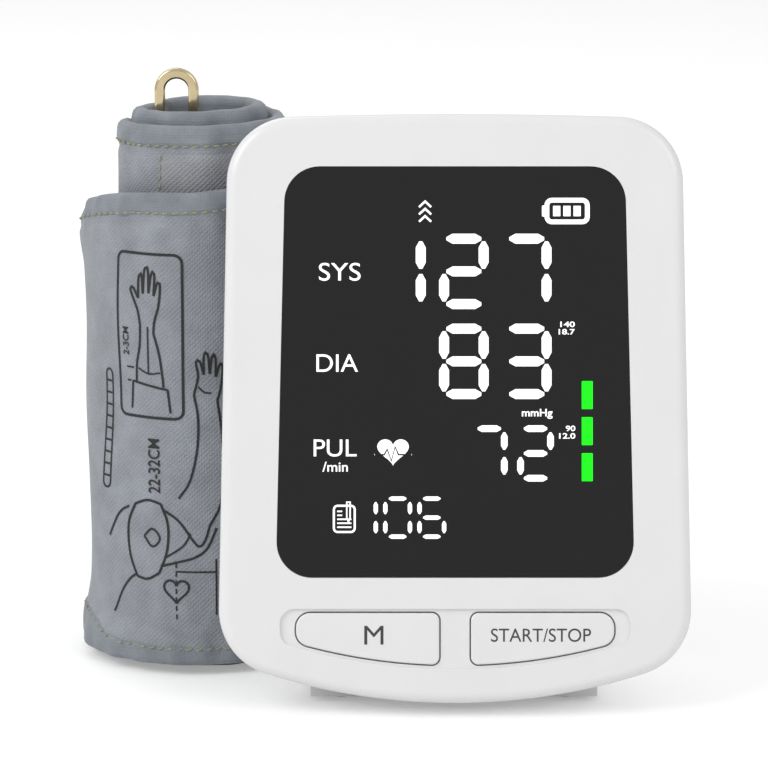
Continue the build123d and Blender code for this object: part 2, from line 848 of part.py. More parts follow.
# Sleeve: the joining turn at the back and the inner turns, with the pocket
with BuildPart() as cuff_sleeve:
    half_ring(turn_back, half_flap, half_flap, flap_low, flap_high)
    for sleeve_turn, turn_high in sleeve_turns:
        half_ring(sleeve_turn, half_sleeve, half_sleeve, 0, turn_high)
    with BuildPart(mode=Mode.PRIVATE) as pocket:
        for bladder_turn, turn_high in bladder_turns:
            low = bladder_margin - seat_gap
            high = turn_high - bladder_margin + seat_gap
            pocket_half = bladder_half + seat_gap
            half_ring(bladder_turn, pocket_half, pocket_half, low, high)
    add(pocket.part, mode=Mode.SUBTRACT)
    with BuildSketch(Plane.XY.offset(tunnel_low)):
        with Locations((held_bar_x, held_bar_y)):
            Circle(tunnel_outer)
    extrude(amount=inner_high - tunnel_low)
    with BuildSketch():
        with Locations((held_bar_x, held_bar_y)):
            Circle(tunnel_inner)
    extrude(amount=inner_high, mode=Mode.SUBTRACT)
save(cuff_sleeve.part, "cuff_sleeve")

# Hook patch inside the flap's free half, and loop patch on the middle turn
with BuildPart() as hook_patch:
    inner_face = half_flap + patch_thickness
    low = flap_low + patch_margin
    half_ring(turn_flap, inner_face, -half_flap, low, flap_high - patch_margin)
    with BuildSketch(Plane.XY.offset(low)) as trim:
        with Locations((turn_flap[0], cuff_y)):
            Rectangle(flap_reach, flap_reach, align=(Align.MIN, Align.CENTER))
    extrude(trim.sketch, amount=flap_high, mode=Mode.SUBTRACT)
save(hook_patch.part, "hook_patch")

with BuildPart() as loop_patch:
    low = patch_margin
    high = middle_high - patch_margin
    half_ring(turn_middle, -half_sleeve, half_sleeve + patch_thickness, low, high)
save(loop_patch.part, "loop_patch")

# Edge tapes on the outer side of the flap and of the middle and inner turns
tape_out = half_flap + tape_thickness
for name, low in (("flap_tape_low", flap_low), ("flap_tape_high", flap_high - tape_width)):
    with BuildPart() as flap_tape:
        half_ring(turn_flap, -half_flap, tape_out, low, low + tape_width)
    save(flap_tape.part, name)

tape_out = half_sleeve + tape_thickness
with BuildPart() as sleeve_tape_high:
    half_ring(turn_middle, -half_sleeve, tape_out, middle_high - tape_width, middle_high)
save(sleeve_tape_high.part, "sleeve_tape_high")

with BuildPart() as sleeve_tape_low:
    half_ring(turn_middle, -half_sleeve, tape_out, seat_gap, tape_width)
save(sleeve_tape_low.part, "sleeve_tape_low")

# Long metal ring, whose left bar the fabric tunnel holds
with BuildPart() as cuff_ring:
    with BuildSketch(ring_plane):
        with Locations((0, (ring_low + ring_high) / 2)):
            SlotOverall(ring_high - ring_low, ring_width, rotation=90)
            SlotOverall(
                ring_high - ring_low - 2 * ring_bar,
                ring_width - 2 * ring_bar,
                rotation=90,
                mode=Mode.SUBTRACT,
            )
    extrude(amount=ring_bar / 2, both=True)
    long_edges = cuff_ring.edges().filter_by(
        lambda edge: abs(edge.tangent_at(0.5).dot(Vector(0, 1, 0))) < 0.001
    )
    fillet(long_edges, radius=ring_bar / 4)
save(cuff_ring.part, "cuff_ring")

# Hose nozzle at the back of the inner turn, above the flap
nozzle_place = Plane(
    origin=(turn_inner_back[0], cuff_y + nozzle_turn_radius + half_sleeve, nozzle_z),
    x_dir=(-1, 0, 0),
    z_dir=(0, 1, 0),
)
with BuildPart() as hose_nozzle:
    with BuildSketch(nozzle_place.offset(seat_gap)):
        Circle(nozzle_base_radius)
    extrude(amount=nozzle_base_height - seat_gap)
    with BuildSketch(nozzle_place.offset(nozzle_base_height)):
        Circle(nozzle_radius)
    extrude(amount=nozzle_length)
    with BuildSketch(nozzle_place.offset(nozzle_base_height + nozzle_length)):
        Circle(nozzle_bore)
    extrude(amount=-nozzle_length, mode=Mode.SUBTRACT)
save(hose_nozzle.part, "hose_nozzle")
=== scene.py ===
"""Upper arm blood pressure monitor and its rolled cuff, with their finishes, display and cloth.

Places are metres in the part's own frame: +X right, +Y away from the reader and +Z up.
Sizes are written in millimetres and multiplied by MM.
"""

import json
import math

import bmesh
import bpy
import numpy as np
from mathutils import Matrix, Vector


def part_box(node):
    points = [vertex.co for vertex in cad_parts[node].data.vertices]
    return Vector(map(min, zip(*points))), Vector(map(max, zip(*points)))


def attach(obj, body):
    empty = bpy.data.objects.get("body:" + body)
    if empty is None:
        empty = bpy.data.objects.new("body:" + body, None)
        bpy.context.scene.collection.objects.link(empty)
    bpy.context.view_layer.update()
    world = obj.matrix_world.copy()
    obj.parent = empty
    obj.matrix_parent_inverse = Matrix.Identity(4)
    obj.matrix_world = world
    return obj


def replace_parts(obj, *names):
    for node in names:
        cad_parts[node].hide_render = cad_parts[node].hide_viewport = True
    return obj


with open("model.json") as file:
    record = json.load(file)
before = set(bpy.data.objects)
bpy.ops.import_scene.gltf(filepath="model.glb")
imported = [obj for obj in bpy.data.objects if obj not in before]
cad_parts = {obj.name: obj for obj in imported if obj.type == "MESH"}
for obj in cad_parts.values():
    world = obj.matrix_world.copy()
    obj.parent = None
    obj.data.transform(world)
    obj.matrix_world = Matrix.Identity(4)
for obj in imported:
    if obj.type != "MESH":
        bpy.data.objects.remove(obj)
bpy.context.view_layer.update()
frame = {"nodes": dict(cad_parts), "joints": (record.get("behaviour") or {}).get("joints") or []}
MM = 0.001
nodes = frame["nodes"]
scene = bpy.context.scene


# Camera: a long lens 850 mm away that looks down by 11.5 degrees, so that the tilted face is seen
# almost square on.
camera_place = Vector((1.28, -881.2, 251.8)) * MM
camera_aim = Vector((1.28, -48.29, 82.33)) * MM
lens_length = 169.2
sensor_width = 36.0

camera_data = bpy.data.cameras.new("camera")
camera_data.lens = lens_length
camera_data.sensor_width = sensor_width
camera_data.clip_start = 0.05
camera_data.clip_end = 20.0
camera = bpy.data.objects.new("camera", camera_data)
camera.location = camera_place
camera.rotation_euler = (camera_aim - camera_place).to_track_quat("-Z", "Y").to_euler()
scene.collection.objects.link(camera)
scene.camera = camera


# Front shell, rear shell and battery cover: glossy white mouldings from polished tools. The
# gloss drifts a little over the surface and the skin has a very faint waviness.
def add_node(material, kind, inputs=None, **settings):
    """Add one shader node; each input is a value or another node's output."""
    made = material.node_tree.nodes.new(kind)
    for key, value in settings.items():
        setattr(made, key, value)
    for key, value in (inputs or {}).items():
        if isinstance(value, bpy.types.NodeSocket):
            material.node_tree.links.new(value, made.inputs[key])
        else:
            made.inputs[key].default_value = value
    return made


def new_material(name):
    """An empty node material."""
    material = bpy.data.materials.new(name)
    material.use_nodes = True
    material.node_tree.nodes.clear()
    return material


def close_material(material, inputs):
    """Put the main shader with these inputs on the material's output."""
    shader = add_node(material, "ShaderNodeBsdfPrincipled", inputs)
    add_node(material, "ShaderNodeOutputMaterial", {"Surface": shader.outputs[0]})
    return material


def rgba(colour):
    """A colour of three shares as the four that sockets take."""
    return (*colour, 1.0)


def shade(colour, share):
    """A colour made darker or paler by this share."""
    return rgba([share * part for part in colour])


def mix_colours(material, factor, first, second):
    """First colour where the factor is 0 and second where it is 1."""
    mix = add_node(material, "ShaderNodeMix", data_type="RGBA")
    for slot, value in ((0, factor), (6, first), (7, second)):
        if isinstance(value, bpy.types.NodeSocket):
            material.node_tree.links.new(value, mix.inputs[slot])
        else:
            mix.inputs[slot].default_value = value
    return mix.outputs[2]


def object_place(material):
    """Place on the part in metres."""
    return add_node(material, "ShaderNodeTexCoord").outputs["Object"]


def noise(material, place, size, detail=3.0, roughness=0.5):
    """Cloudy pattern whose blots are about this size in metres."""
    inputs = {"Vector": place, "Scale": 1 / size, "Detail": detail, "Roughness": roughness}
    return add_node(material, "ShaderNodeTexNoise", inputs).outputs[0]


def spread(material, value, low, high):
    """A pattern of 0.3 to 0.7 stretched over the range from low to high."""
    inputs = {"Value": value, "From Min": 0.3, "From Max": 0.7, "To Min": low, "To Max": high}
    return add_node(material, "ShaderNodeMapRange", inputs).outputs[0]


def drifting(material, pattern, colour, darkest):
    """A colour that a pattern darkens, down to this share of it."""
    return mix_colours(material, spread(material, pattern, 0, 1), shade(colour, darkest), rgba(colour))


def bump(material, height, strength, depth):
    """Surface relief of this depth in metres."""
    inputs = {"Height": height, "Strength": strength, "Distance": depth}
    return add_node(material, "ShaderNodeBump", inputs).outputs[0]


def moulded_plastic(name, colour, gloss, grain, grain_size, coat=0.0, shine=0.5):
    """Plastic whose gloss and tint drift, with a grain pressed into it by its mould."""
    material = new_material(name)
    place = object_place(material)
    drift = noise(material, place, 14 * MM)
    skin = noise(material, place, grain_size, 2.0)
    return close_material(material, {
        "Base Color": drifting(material, drift, colour, 0.98),
        "Roughness": spread(material, skin, 0.95 * gloss, 1.06 * gloss),
        "Normal": bump(material, skin, grain, 0.1 * MM),
        "Coat Weight": coat,
        "Coat Roughness": 0.06,
        "Specular IOR Level": shine,
    })


def paint(material, *names):
    """Give CAD nodes this material."""
    for name in names:
        for place in nodes[name].material_slots:
            place.material = material


housing_white = (0.89, 0.89, 0.895)
housing_plastic = moulded_plastic("housing_plastic", housing_white, 0.25, 0.01, 2 * MM, 0.2)
paint(housing_plastic, "front_shell", "rear_shell", "battery_cover")


# Display window: a flat sheet of dark tinted plastic, polished in front, that sits almost flush
# in its recess. Its thickness comes from the box round the tilted sheet.
window_colour = (0.0175, 0.0175, 0.018)
window_plastic = moulded_plastic("window_plastic", window_colour, 0.14, 0.02, 6 * MM, 0.0, 0.22)
paint(window_plastic, "display_window")

press = next(joint for joint in frame["joints"] if joint["name"] == "memory_press")
face_out = -Vector(press["axis"]).normalized()
face_across = Vector((1, 0, 0))
face_up = face_out.cross(face_across)
face_tilt = math.atan2(face_out.z, -face_out.y)

window_low, window_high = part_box("display_window")
window_size = window_high - window_low
window_depth = window_size.y * math.cos(face_tilt) - window_size.z * math.sin(face_tilt)
window_depth /= math.cos(2 * face_tilt)
window_foot = Vector((
    (window_low.x + window_high.x) / 2,
    window_low.y,
    window_low.z + window_depth * math.sin(face_tilt),
))


def on_window(across, up, out):
    """Millimetres from the middle of the window's lower front edge to places in metres."""
    axes = np.array([face_across, face_up, face_out])
    return np.array(window_foot) + MM * np.stack((across, up, out), axis=-1) @ axes


# Lit display: white figures and signs and green level bars, a hair in front of the window. The
# figures have seven segments with pointed ends.
def show_mesh(name, mesh, material, merge=0.0):
    """Put a mesh at the origin with its near points merged and its faces turned outwards."""
    shape = bmesh.new()
    shape.from_mesh(mesh)
    if merge:
        bmesh.ops.remove_doubles(shape, verts=shape.verts, dist=merge)
    bmesh.ops.recalc_face_normals(shape, faces=shape.faces)
    shape.to_mesh(mesh)
    shape.free()
    mesh.materials.append(material)
    piece = bpy.data.objects.new(name, mesh)
    scene.collection.objects.link(piece)
    return piece


def new_piece(name, vertices, faces, material, smooth=False):
    """A piece from points in metres and faces between them."""
    mesh = bpy.data.meshes.new(name)
    mesh.from_pydata(np.asarray(vertices).tolist(), [], [list(face) for face in faces])
    piece = show_mesh(name, mesh, material)
    mesh.polygons.foreach_set("use_smooth", [smooth] * len(mesh.polygons))
    return piece


mark_height = 0.04


def tube_faces(levels, around, closed=False):
    """Faces between the levels of a tube, whose points are listed round each level in turn."""
    first = np.arange(levels if closed else levels - 1)[:, None] * around
    after = (first + around) % (levels * around)
    column = np.arange(around)
    beside = (column + 1) % around
    quads = np.stack((first + column, first + beside, after + beside, after + column), axis=-1)
    return quads.reshape(-1, 4)


def slab(outline):
    """Flat plate: the outline below, the same outline above, and a wall between them."""
    flat = np.asarray(outline, float)
    count = len(flat)
    levels = [np.column_stack((flat, np.full(count, level))) for level in (0.0, mark_height)]
    ring = np.arange(count)
    ends = [ring.tolist(), (ring + count).tolist()]
    return np.vstack(levels), ends + tube_faces(2, count).tolist()


def line(points, width, closed=False):
    """Flat line of constant width: four corners at each point, joined from point to point."""
    spots = np.asarray(points, float)
    if closed:
        ahead = np.roll(spots, -1, axis=0) - spots
        behind = spots - np.roll(spots, 1, axis=0)
    else:
        runs = np.diff(spots, axis=0)
        ahead = np.vstack((runs, runs[-1:]))
        behind = np.vstack((runs[:1], runs))
    ahead /= np.linalg.norm(ahead, axis=1, keepdims=True)
    behind /= np.linalg.norm(behind, axis=1, keepdims=True)
    along = ahead + behind
    along /= np.linalg.norm(along, axis=1, keepdims=True)
    aside = np.column_stack((-along[:, 1], along[:, 0]))
    mitre = 1 / np.clip((along * ahead).sum(axis=1, keepdims=True), 0.6, 1)
    left = spots + aside * mitre * width / 2
    right = spots - aside * mitre * width / 2
    corners = [(left, 0.0), (left, mark_height), (right, mark_height), (right, 0.0)]
    rows = np.stack([np.column_stack((xy, np.full(len(xy), z))) for xy, z in corners], axis=1)
    count = len(spots)
    faces = tube_faces(count, 4, closed).tolist()
    if not closed:
        faces += [[0, 1, 2, 3], [4 * count - 4, 4 * count - 3, 4 * count - 2, 4 * count - 1]]
    return rows.reshape(-1, 3), faces


def gather(parts):
    """Several sets of vertices and faces as one."""
    vertices = []
    faces = []
    count = 0
    for spots, sides in parts:
        vertices.append(spots)
        faces += [[corner + count for corner in side] for side in sides]
        count += len(spots)
    return np.vstack(vertices), faces


def marks(name, parts, place, material):
    """One piece from flat plates and lines, laid on a surface by its place function."""
    flat, faces = gather(parts)
    return new_piece(name, place(flat[:, 0], flat[:, 1], flat[:, 2]), faces, material)


def lit(name, colour, strength):
    """Lit mark whose brightness is a little uneven."""
    material = new_material(name)
    glow = noise(material, object_place(material), 2 * MM)
    return close_material(material, {
        "Base Color": rgba(colour),
        "Roughness": spread(material, glow, 0.25, 0.35),
        "Emission Color": drifting(material, glow, colour, 0.96),
        "Emission Strength": strength,
    })


same_spot = 0.002 * MM
segment_names = {
    "0": "abcdef", "1": "bc", "2": "abged", "3": "abgcd", "6": "afgedc", "7": "abc", "8": "abcdefg",
}
segment_spots = {
    "a": (0, 1), "b": (0.5, 0.5), "c": (0.5, -0.5), "d": (0, -1), "e": (-0.5, -0.5),
    "f": (-0.5, 0.5), "g": (0, 0),
}


def segment(middle, length, thickness, upright):
    """One segment: a bar whose ends come to a blunt point."""
    half = length / 2
    edge = thickness / 2
    tip = 0.62 * thickness
    blunt = 0.16 * thickness
    shape = [
        (-half, -blunt), (-half + tip, -edge), (half - tip, -edge), (half, -blunt),
        (half, blunt), (half - tip, edge), (-half + tip, edge), (-half, blunt),
    ]
    if upright:
        shape = [(-y, x) for x, y in shape]
    return slab([(middle[0] + x, middle[1] + y) for x, y in shape])


def figure(character, middle, columns, rows, thickness, long, tall):
    """The segments of one figure, whose columns and rows are this far apart."""
    parts = []
    for name in segment_names[character]:
        across, up = segment_spots[name]
        spot = (middle[0] + across * columns, middle[1] + up * rows)
        upright = name in "bcef"
        parts.append(segment(spot, tall if upright else long, thickness, upright))
    return parts


def rounded_box(width, height, corner, middle=(0, 0)):
    """Points round a rectangle with quarter circles at its corners."""
    turns = np.radians(np.linspace(0, 90, 6))
    quarter = corner * np.column_stack((np.cos(turns), np.sin(turns)))
    points = []
    for turn, (side, end) in enumerate(((1, 1), (-1, 1), (-1, -1), (1, -1))):
        spin = math.radians(90 * turn)
        spun = quarter @ np.array([[math.cos(spin), math.sin(spin)], [-math.sin(spin), math.cos(spin)]])
        points.append(spun + (side * (width / 2 - corner), end * (height / 2 - corner)))
    return np.vstack(points) + middle


def heart_outline(width, height, middle, count=48):
    """Heart curve: sixteen times sine cubed across, a sum of four cosines up."""
    turn = np.linspace(0, 2 * math.pi, count, endpoint=False)
    across = np.sin(turn) ** 3
    up = 13 * np.cos(turn) - 5 * np.cos(2 * turn) - 2 * np.cos(3 * turn) - np.cos(4 * turn)
    up = (up - up.min()) / (up.max() - up.min()) - 0.5
    return np.column_stack((middle[0] + across * width / 2, middle[1] + up * height))


def lettering(name, text, width, height, middle, place, material, weight=0.0):
    """Letters of this overall width and height, laid on a surface by its place function."""
    curve = bpy.data.curves.new(name, "FONT")
    curve.body = text
    curve.extrude = 0.5
    curve.offset = weight
    holder = bpy.data.objects.new(name, curve)
    scene.collection.objects.link(holder)
    mesh = bpy.data.meshes.new_from_object(holder)
    bpy.data.objects.remove(holder)
    flat = np.empty(len(mesh.vertices) * 3)
    mesh.vertices.foreach_get("co", flat)
    flat = flat.reshape(-1, 3)
    low = flat.min(axis=0)
    size = flat.max(axis=0) - low
    shares = (flat - low) / size
    across = middle[0] + (shares[:, 0] - 0.5) * width
    up = middle[1] + (shares[:, 1] - 0.5) * height
    mesh.vertices.foreach_set("co", place(across, up, shares[:, 2] * mark_height).ravel())
    mesh.materials.clear()
    return show_mesh(name, mesh, material, same_spot)


# Figures of each reading: text, middle of its last figure, step between figures, column and
# row distance, thickness and length of the segments.
lit_white = lit("lit_white", (0.95, 0.95, 0.95), 0.55)
lit_green = lit("lit_green", (0.0, 0.92, 0.0), 0.75)
large_figures = {"columns": 9.5, "rows": 7.85, "thickness": 2.4, "long": 8.4, "tall": 6.6}
pulse_figures = {"columns": 7.2, "rows": 5.95, "thickness": 1.6, "long": 5.6, "tall": 4.2}
count_figures = {"columns": 5.9, "rows": 4.56, "thickness": 1.05, "long": 4.2, "tall": 2.9}
readings = [
    ("systolic_reading", "127", (17.2, 73.4), 15.1, large_figures),
    ("diastolic_reading", "83", (17.2, 51.8), 15.1, large_figures),
    ("pulse_reading", "72", (19.3, 29.7), 11.1, pulse_figures),
    ("memory_count", "106", (-5.6, 14.3), 8.2, count_figures),
]
for name, text, last, step, sizes in readings:
    parts = []
    for place_left, character in enumerate(reversed(text)):
        parts += figure(character, (last[0] - place_left * step, last[1]), **sizes)
    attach(marks(name, parts, on_window, lit_white), "monitor")

# Level bars beside the readings, one over the other.
bar_parts = []
for bar in range(3):
    bar_parts.append(slab(rounded_box(2.6, 6.7, 0.15, (31.7, 26.4 + 8.65 * bar))))
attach(marks("level_bars", bar_parts, on_window, lit_green), "monitor")

# Signs: a charge sign with three bars, three chevrons, a heart and a notepad with its pencil.
battery_rise = 87.9
battery_outline = rounded_box(9.7, 5.2, 1.2, (26.9, battery_rise))
battery_parts = [line(battery_outline, 1.15, closed=True)]
battery_parts.append(slab(rounded_box(0.9, 2.7, 0.3, (21.3, battery_rise))))
for bar in range(3):
    bar_spot = (24.4 + 2.45 * bar, battery_rise)
    battery_parts.append(slab(rounded_box(1.75, 2.5, 0.1, bar_spot)))
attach(marks("charge_sign", battery_parts, on_window, lit_white), "monitor")

chevron_parts = []
for chevron in range(3):
    top = 90.2 - 1.75 * chevron
    points = [(-8.65, top - 1.35), (-7.2, top), (-5.75, top - 1.35)]
    chevron_parts.append(line(points, 0.5))
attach(marks("rise_sign", chevron_parts, on_window, lit_white), "monitor")

heart_parts = [slab(heart_outline(7.6, 6.4, (-14.9, 29.9)))]
heart_sign = marks("heart_sign", heart_parts, on_window, lit_white)
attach(heart_sign, "monitor")


over_marks = 0.05
thin_line = 0.34
beat_rise = 29.4


def over_sign(across, up, out):
    """A level just over the lit signs."""
    return on_window(across, up, out + over_marks)


beat = [
    (-19.3, beat_rise), (-17.0, beat_rise), (-16.3, 30.7), (-15.3, 27.9), (-14.4, 31.3),
    (-13.6, beat_rise), (-10.5, beat_rise),
]
beat_parts = [line(beat, thin_line)]
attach(marks("beat_line", beat_parts, over_sign, window_plastic), "monitor")
beat_ends = []
for start in (-19.4, -11.3):
    beat_ends.append(line([(start, beat_rise), (start + 0.9, beat_rise)], thin_line))
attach(marks("beat_ends", beat_ends, on_window, lit_white), "monitor")

note_middle = (-26.6, 14.0)
note_parts = [line(rounded_box(5.0, 6.3, 0.9, note_middle), 0.5, closed=True)]
for row in range(5):
    short = 1.2 if row > 2 else 3.4
    start = note_middle[0] - 1.7
    height = note_middle[1] - 2.0 + 0.95 * row
    note_parts.append(line([(start, height), (start + short, height)], 0.36))
pencil = [(-26.0, 14.2), (-25.6, 13.2), (-25.2, 14.2), (-25.2, 18.0), (-26.0, 18.0)]
note_parts.append(line(pencil, thin_line, closed=True))
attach(marks("record_sign", note_parts, on_window, lit_white), "monitor")

# Names of the readings, their units and the limits, in the same white: text, width, height,
# middle and weight of the strokes.
labels = [
    ("systolic_label", "SYS", 10.0, 4.3, (-27.7, 73.3), 0.0),
    ("diastolic_label", "DIA", 10.0, 4.2, (-28.3, 51.4), 0.0),
    ("pulse_label", "PUL", 10.3, 4.1, (-28.8, 31.0), 0.0),
    ("minute_label", "/min", 6.1, 2.4, (-28.8, 26.5), 0.01),
    ("pressure_unit", "mmHg", 7.4, 2.4, (19.7, 39.2), 0.02),
    ("upper_limit", "140", 3.5, 1.35, (27.0, 60.7), 0.02),
    ("upper_limit_metric", "18.7", 3.9, 1.35, (26.8, 58.9), 0.02),
    ("lower_limit", "90", 2.3, 1.35, (27.7, 35.7), 0.02),
    ("lower_limit_metric", "12.0", 3.9, 1.35, (26.9, 33.9), 0.02),
]
for name, text, width, height, middle, weight in labels:
    piece = lettering(name, text, width, height, middle, on_window, lit_white, weight)
    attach(piece, "monitor")


# Keys: two white caps in the shallow dish under the window. Their grey legends are printed, so
# they lie flat on the caps and go down with them.
paint(housing_plastic, "memory_button", "start_button")
cap_over_window = 0.05
legend_grey = (0.055, 0.055, 0.06)
legend_ink = moulded_plastic("legend_ink", legend_grey, 0.4, 0.1, 0.6 * MM)


def on_caps(across, up, out):
    """Millimetres from the window's foot to places on the front of the caps."""
    return on_window(across, up, out + cap_over_window)


memory_legend = lettering("memory_legend", "M", 4.6, 4.5, (-19.5, -13.9), on_caps, legend_ink)
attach(memory_legend, "memory_key")
start_legend = lettering("start_legend", "START/STOP", 24.0, 3.2, (20.6, -13.9), on_caps, legend_ink)
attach(start_legend, "start_key")


# Inner parts of the monitor: board, switches, sensor, buzzer, pump, manifold, valve, socket,
# inlet, cells and their contacts, seen only when the housing is opened.
panel_plastic = moulded_plastic("panel_plastic", (0.05, 0.05, 0.052), 0.5, 0.2, 0.8 * MM)
board_plastic = moulded_plastic("board_plastic", (0.03, 0.2, 0.08), 0.35, 0.3, 1.2 * MM)
dark_plastic = moulded_plastic("dark_plastic", (0.05, 0.05, 0.055), 0.4, 0.4, 0.7 * MM)
foot_rubber = moulded_plastic("foot_rubber", (0.1, 0.1, 0.105), 0.75, 0.5, 0.5 * MM)


def rolled_metal(name, colour, roughness, line_size):
    """Metal with fine drawn lines round it, which vary its gloss and relief."""
    material = new_material(name)
    place = object_place(material)
    stretch = add_node(material, "ShaderNodeMapping", {"Vector": place, "Scale": (0.08, 0.08, 1.0)})
    lines = noise(material, stretch.outputs[0], line_size, 4.0)
    blots = noise(material, place, 5 * MM)
    return close_material(material, {
        "Base Color": drifting(material, blots, colour, 0.86),
        "Metallic": 1.0,
        "Roughness": spread(material, lines, 0.7 * roughness, 1.4 * roughness),
        "Normal": bump(material, lines, 0.15, 0.05 * MM),
    })


plated_steel = rolled_metal("plated_steel", (0.6, 0.6, 0.61), 0.28, 0.5 * MM)
cell_sleeve = rolled_metal("cell_sleeve", (0.1, 0.13, 0.16), 0.32, 0.6 * MM)
paint(panel_plastic, "display_panel")
paint(board_plastic, "main_board")
paint(dark_plastic, "memory_switch", "start_switch", "memory_plunger", "start_plunger")
paint(dark_plastic, "pressure_sensor", "buzzer", "pump_head", "air_manifold", "exhaust_valve")
paint(dark_plastic, "air_socket", "power_inlet", "hose_nozzle")
paint(foot_rubber, "rubber_feet", "air_tube", "air_bladder")
paint(plated_steel, "case_screws", "contacts_left", "contacts_right", "pump_motor")
paint(cell_sleeve, "battery_1", "battery_2", "battery_3", "battery_4")


# Cloth of the cuff: blue-grey woven nylon over a thin foam, rolled up from its inner end. The
# middle line of the roll is half circles that share their ends, as the stored cuff shows. Gaps
# and steps are from one half circle's end to the next one's.
roll_spacing = 0.9
flap_low, flap_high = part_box("cuff_flap")
flap_thickness = 2.2
sleeve_thickness = 3.0
left_gap = 9.4
right_step = 5.9
left_step = 3.7
right_step_inner = 5.0
left_step_inner = 5.8
free_end_angle = 122.0
core_end_angle = 168.0

flap_left = flap_low.x / MM + flap_thickness / 2
flap_right = flap_high.x / MM - flap_thickness / 2
roll_y = flap_low.y / MM + (flap_high.x - flap_low.x) / MM / 2
middle_left = flap_left + left_gap
middle_right = flap_right - right_step
inner_left = middle_left + left_step
inner_right = middle_right - right_step_inner
core_left = inner_left + left_step_inner


def arc(left, right, first, last):
    """Middle, radius, first and last angle in degrees of one part of the roll."""
    return ((left + right) / 2, (right - left) / 2, first, last)


flap_arcs = [arc(flap_left, flap_right, free_end_angle, 360)]
sleeve_arcs = [
    arc(middle_left, flap_right, 0, 180),
    arc(middle_left, middle_right, 180, 360),
    arc(inner_left, middle_right, 0, 180),
    arc(inner_left, inner_right, 180, 360),
    arc(core_left, inner_right, 0, core_end_angle),
]


def roll_line(arcs):
    """Places, outward directions, lengths along and angles of a chain of arcs, in millimetres."""
    places = []
    angles = []
    for middle, radius, first, last in arcs:
        steps = round(math.radians(abs(last - first)) * radius / roll_spacing)
        turn = np.linspace(first, last, steps, endpoint=False)
        places.append(np.column_stack((
            middle + radius * np.cos(np.radians(turn)), roll_y + radius * np.sin(np.radians(turn))
        )))
        angles.append(turn)
    middle, radius, first, last = arcs[-1]
    end = math.radians(last)
    places.append([[middle + radius * math.cos(end), roll_y + radius * math.sin(end)]])
    angles.append([last])
    places = np.vstack(places)
    angles = np.concatenate(angles)
    outward = np.column_stack((np.cos(np.radians(angles)), np.sin(np.radians(angles))))
    lengths = np.concatenate(([0], np.cumsum(np.linalg.norm(np.diff(places, axis=0), axis=1))))
    return places, outward, lengths, angles


def smooth_step(value, first, last):
    """0 before first and 1 after last, with a soft change between them."""
    share = np.clip((value - first) / (last - first), 0, 1)
    return share * share * (3 - 2 * share)


def rolled_cloth(name, path, low, high, inner, outer, material, lean, rows, ends=1.2):
    """Closed sheet along the roll: up its outer face, over its edge, down its inner face.

    The outer and inner arguments are distances from the middle line, and lean moves the sheet
    in or out by length along and height. The edges are rounded, and so are the far end and an
    end that lies at length 0.
    """
    places, outward, lengths, _ = path
    stations = len(lengths)
    low = np.broadcast_to(low, stations)[:, None]
    high = np.broadcast_to(high, stations)[:, None]
    thinnest_end = 0.06
    from_end = np.clip(np.minimum(lengths, lengths[-1] - lengths) / ends, thinnest_end, 1)
    rounding = np.sqrt(1 - (1 - from_end) ** 2)
    half = (rounding * (outer + inner) / 2)[:, None]
    centre = np.broadcast_to((outer - inner) / 2, stations)[:, None]

    edge_points = 5
    turn = np.radians(np.linspace(0, 180, edge_points + 2))[1:-1]
    up = np.linspace(0, 1, rows)
    face = np.ones(rows)
    sides = np.concatenate((face, np.cos(turn), -face, -np.cos(turn)))
    rises = np.concatenate((up, np.ones(edge_points), up[::-1], np.zeros(edge_points)))
    bulge = np.concatenate((0 * face, np.sin(turn), 0 * face, -np.sin(turn)))
    section = len(sides)
    height = low + half + (high - low - 2 * half) * rises + bulge * half
    offset = centre + half * sides + lean(lengths[:, None], height)
    flat = [places[:, None, axis] + outward[:, None, axis] * offset for axis in (0, 1)]
    spots = np.stack((*flat, height), axis=-1)

    cap = np.arange(section // 2 - 1)
    loop = (np.arange(section) - edge_points // 2) % section
    mirrored = section - 1 - cap
    near = np.stack((loop[cap], loop[cap + 1], loop[mirrored - 1], loop[mirrored]), axis=1)
    far = near + (stations - 1) * section
    faces = np.vstack((tube_faces(stations, section), near, far))
    piece = new_piece(name, spots.reshape(-1, 3) * MM, faces, material, smooth=True)
    along = np.stack(np.broadcast_arrays(lengths[:, None], height, sides), axis=-1)
    weave = piece.data.attributes.new("weave", "FLOAT_VECTOR", "POINT")
    weave.data.foreach_set("vector", (along * MM).ravel())
    return piece


# A wave texture of scale 1 turns by this many radians over one unit.
wave_turn = 20


